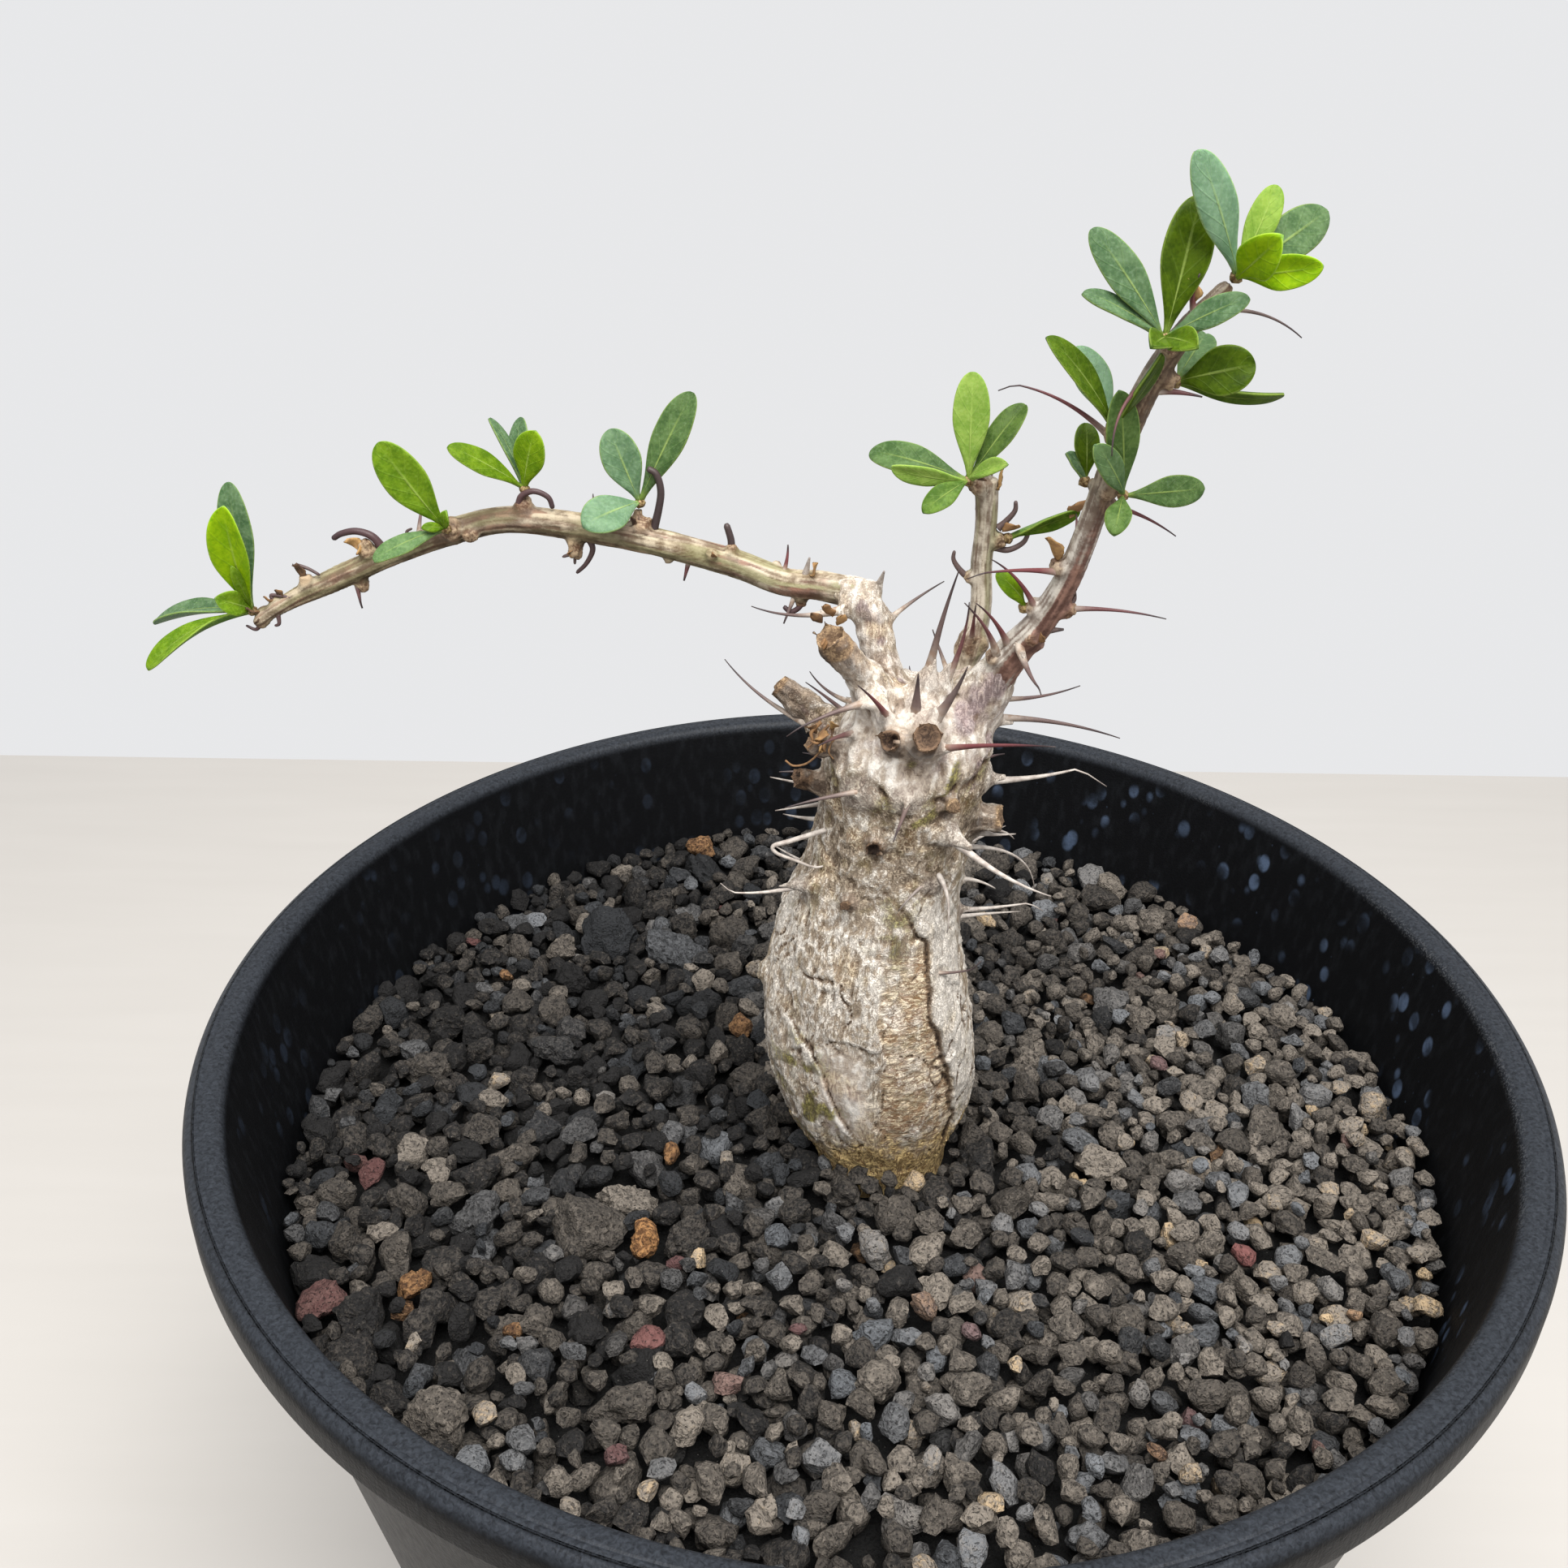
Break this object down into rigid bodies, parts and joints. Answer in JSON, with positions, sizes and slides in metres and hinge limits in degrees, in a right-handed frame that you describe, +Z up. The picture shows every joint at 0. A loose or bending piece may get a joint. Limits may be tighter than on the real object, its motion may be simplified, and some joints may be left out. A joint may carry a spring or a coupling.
{
  "type": "potted boojum tree",
  "caption": "Young bottle-trunked tree with knobby grey bark, spiny branches and small spoon-shaped leaves, in a round black plastic pot of lava grit",
  "frame": {"origin": "centre of the pot's flat underside, where it stands", "axes": "+Z up out of the pot; the tree is seen from -Y, its long bare branch reaches to -X and its leafy branch leans to +X"},
  "size_m": [0.1518, 0.15, 0.2115],
  "materials": {
    "pot_plastic": "black injection-moulded plastic, satin rim, finely grained wall",
    "grit": "rough charcoal and brown lava grit, mostly matte, with a few tan and orange grains",
    "bark": "pale grey peeling bark with ochre cracks and faint green algae",
    "twig": "tan twig bark with pale streaks, and dark red-brown spines",
    "leaf": "smooth waxy leaf, blue-green with a pale edge and midrib, young leaves yellow-green"
  },
  "bodies": {
    "root": {"pot": "pot_plastic", "soil": "grit", "trunk": "bark", "branch_left": "twig", "branch_middle": "twig", "branch_right": "twig", "leaves_left_tip": "leaf", "leaves_left_outer": "leaf", "leaves_left_middle": "leaf", "leaves_left_inner": "leaf", "leaves_middle_top": "leaf", "leaves_middle_side": "leaf", "leaves_right_low": "leaf", "leaves_right_first": "leaf", "leaves_right_rear": "leaf", "leaves_right_second": "leaf", "leaves_right_third": "leaf", "leaves_right_back": "leaf", "leaves_right_tip": "leaf"}
  },
  "joints": []
}
